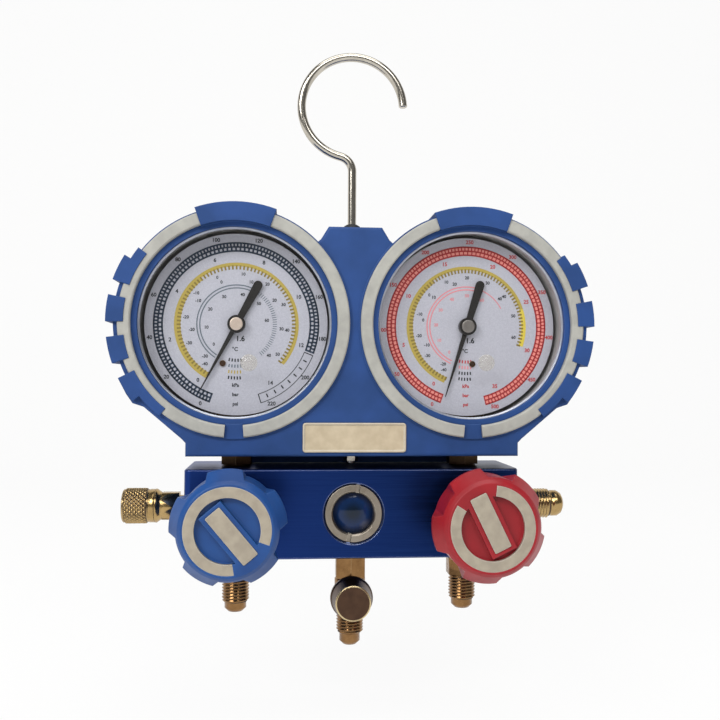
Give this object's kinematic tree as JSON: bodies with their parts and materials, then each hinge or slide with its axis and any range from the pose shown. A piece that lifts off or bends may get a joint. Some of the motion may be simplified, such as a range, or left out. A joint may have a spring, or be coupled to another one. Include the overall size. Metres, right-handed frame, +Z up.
{
  "type": "refrigerant manifold gauge",
  "caption": "Manifold with low and high side pressure gauges in a rubber boot, hand valves, sight glass, flare hose ports and a hanging hook.",
  "frame": {"origin": "inside of the hook's crown, where the set hangs", "axes": "+Z up along the hook's shank, dials and knobs face -Y, low side (blue) at -X"},
  "size_m": [0.194, 0.0748, 0.2488],
  "materials": {
    "anodised_blue": "fine brushed, blue anodised",
    "boot_rubber": "satin moulded rubber",
    "glow_plastic": "matt, glow-in-the-dark cream",
    "case_steel": "plated steel",
    "bezel_chrome": "polished",
    "lens_clear": "clear window",
    "dial_white": "matt white print ground",
    "needle_black": "satin black",
    "brass": "machined brass",
    "tube_bronze": "drawn phosphor bronze",
    "sight_window": "polished glass",
    "seal_rubber": "black seal rubber",
    "seat_plastic": "white fluoropolymer",
    "knob_blue": "satin moulded blue",
    "knob_red": "satin moulded red",
    "hook_chrome": "bright plated wire",
    "bush_black": "dark moulded plastic"
  },
  "bodies": {
    "manifold": {"manifold_block": "anodised_blue", "gauge_boot": "boot_rubber", "low_glow_ring": "glow_plastic", "high_glow_ring": "glow_plastic", "nameplate": "glow_plastic", "sight_ring": "brass", "sight_glass": "sight_window", "sight_seal": "seal_rubber", "low_port": "brass", "high_port": "brass", "charge_nipple": "brass", "charge_tee": "brass", "side_port": "brass", "parking_stud": "brass", "hook_bush": "bush_black", "zero_screws": "case_steel", "low_gauge_case": "case_steel", "low_bezel": "bezel_chrome", "low_lens": "lens_clear", "low_dial": "dial_white", "low_movement": "brass", "low_bourdon_tube": "tube_bronze", "low_socket": "brass", "low_bonnet": "brass", "low_stem_oring": "seal_rubber", "high_gauge_case": "case_steel", "high_bezel": "bezel_chrome", "high_lens": "lens_clear", "high_dial": "dial_white", "high_movement": "brass", "high_bourdon_tube": "tube_bronze", "high_socket": "brass", "high_bonnet": "brass", "high_stem_oring": "seal_rubber"},
    "low_pointer": {"low_needle": "needle_black", "low_arbor": "brass"},
    "low_sector_gear": {"low_sector": "brass"},
    "low_drag_link": {"low_link": "brass"},
    "low_seat_disc": {"low_valve_disc": "seat_plastic"},
    "low_handwheel": {"low_stem": "brass", "low_knob": "knob_blue", "low_knob_ring": "glow_plastic", "low_knob_label": "glow_plastic", "low_knob_screw": "case_steel"},
    "high_pointer": {"high_needle": "needle_black", "high_arbor": "brass"},
    "high_sector_gear": {"high_sector": "brass"},
    "high_drag_link": {"high_link": "brass"},
    "high_seat_disc": {"high_valve_disc": "seat_plastic"},
    "high_handwheel": {"high_stem": "brass", "high_knob": "knob_red", "high_knob_ring": "glow_plastic", "high_knob_label": "glow_plastic", "high_knob_screw": "case_steel"},
    "side_cap_washer": {"side_gasket": "seal_rubber"},
    "side_cap_shell": {"side_cap": "brass"},
    "tee_cap_washer": {"tee_gasket": "seal_rubber"},
    "tee_cap_shell": {"tee_cap": "brass"},
    "hanger": {"hook": "hook_chrome", "hook_nut": "case_steel"}
  },
  "joints": [
    {"name": "low_pointer_swing", "type": "hinge", "parent": "manifold", "child": "low_pointer", "pos_m": [-0.04745, 0, -0.11294], "axis": [0, 1, 0], "range_deg": [-9, 315.4], "stiffness_Nm_per_rad": 0.002},
    {"name": "low_sector_swing", "type": "hinge", "parent": "manifold", "child": "low_sector_gear", "pos_m": [-0.03364, 0, -0.12675], "axis": [0, 1, 0], "range_deg": [-35.2, 1.2]},
    {"name": "low_link_swing", "type": "hinge", "parent": "low_sector_gear", "child": "low_drag_link", "pos_m": [-0.02975, 0, -0.13064], "axis": [0, 1, 0], "range_deg": [-1.2, 35.2]},
    {"name": "low_valve_travel", "type": "slide", "parent": "manifold", "child": "low_seat_disc", "axis": [0, -1, 0], "range_m": [0, 0.00374]},
    {"name": "low_knob_turn", "type": "hinge", "parent": "low_seat_disc", "child": "low_handwheel", "pos_m": [-0.04745, 0, -0.1887], "axis": [0, -1, 0], "range_deg": [0, 900]},
    {"name": "high_pointer_swing", "type": "hinge", "parent": "manifold", "child": "high_pointer", "pos_m": [0.04745, 0, -0.11294], "axis": [0, 1, 0], "range_deg": [0, 328.2], "stiffness_Nm_per_rad": 0.002},
    {"name": "high_sector_swing", "type": "hinge", "parent": "manifold", "child": "high_sector_gear", "pos_m": [0.06126, 0, -0.12675], "axis": [0, 1, 0], "range_deg": [-36.6, 0.2]},
    {"name": "high_link_swing", "type": "hinge", "parent": "high_sector_gear", "child": "high_drag_link", "pos_m": [0.06515, 0, -0.13064], "axis": [0, 1, 0], "range_deg": [-0.2, 36.6]},
    {"name": "high_valve_travel", "type": "slide", "parent": "manifold", "child": "high_seat_disc", "axis": [0, -1, 0], "range_m": [0, 0.00374]},
    {"name": "high_knob_turn", "type": "hinge", "parent": "high_seat_disc", "child": "high_handwheel", "pos_m": [0.04745, 0, -0.1887], "axis": [0, -1, 0], "range_deg": [0, 900]},
    {"name": "side_cap_travel", "type": "slide", "parent": "manifold", "child": "side_cap_washer", "axis": [-1, 0, 0], "range_m": [0, 0.00888]},
    {"name": "side_cap_turn", "type": "hinge", "parent": "side_cap_washer", "child": "side_cap_shell", "pos_m": [-0.067, 0.00856, -0.1887], "axis": [-1, 0, 0], "range_deg": [0, 2520]},
    {"name": "tee_cap_travel", "type": "slide", "parent": "manifold", "child": "tee_cap_washer", "axis": [0, -1, 0], "range_m": [0, 0.00634]},
    {"name": "tee_cap_turn", "type": "hinge", "parent": "tee_cap_washer", "child": "tee_cap_shell", "pos_m": [0, 0, -0.2241], "axis": [0, -1, 0], "range_deg": [0, 1800]},
    {"name": "hook_swivel", "type": "hinge", "parent": "manifold", "child": "hanger", "pos_m": [0, 0, -0.07], "axis": [0, 0, 1], "continuous": true}
  ],
  "couplings": [
    {"joint": "low_sector_swing", "follows": "low_pointer_swing", "ratio": -0.11111},
    {"joint": "low_link_swing", "follows": "low_pointer_swing", "ratio": 0.11111},
    {"joint": "low_knob_turn", "follows": "low_valve_travel", "rad_per_m": 4188.8},
    {"joint": "high_sector_swing", "follows": "high_pointer_swing", "ratio": -0.11111},
    {"joint": "high_link_swing", "follows": "high_pointer_swing", "ratio": 0.11111},
    {"joint": "high_knob_turn", "follows": "high_valve_travel", "rad_per_m": 4188.8},
    {"joint": "side_cap_turn", "follows": "side_cap_travel", "rad_per_m": 4947.4},
    {"joint": "tee_cap_turn", "follows": "tee_cap_travel", "rad_per_m": 4947.4}
  ]
}
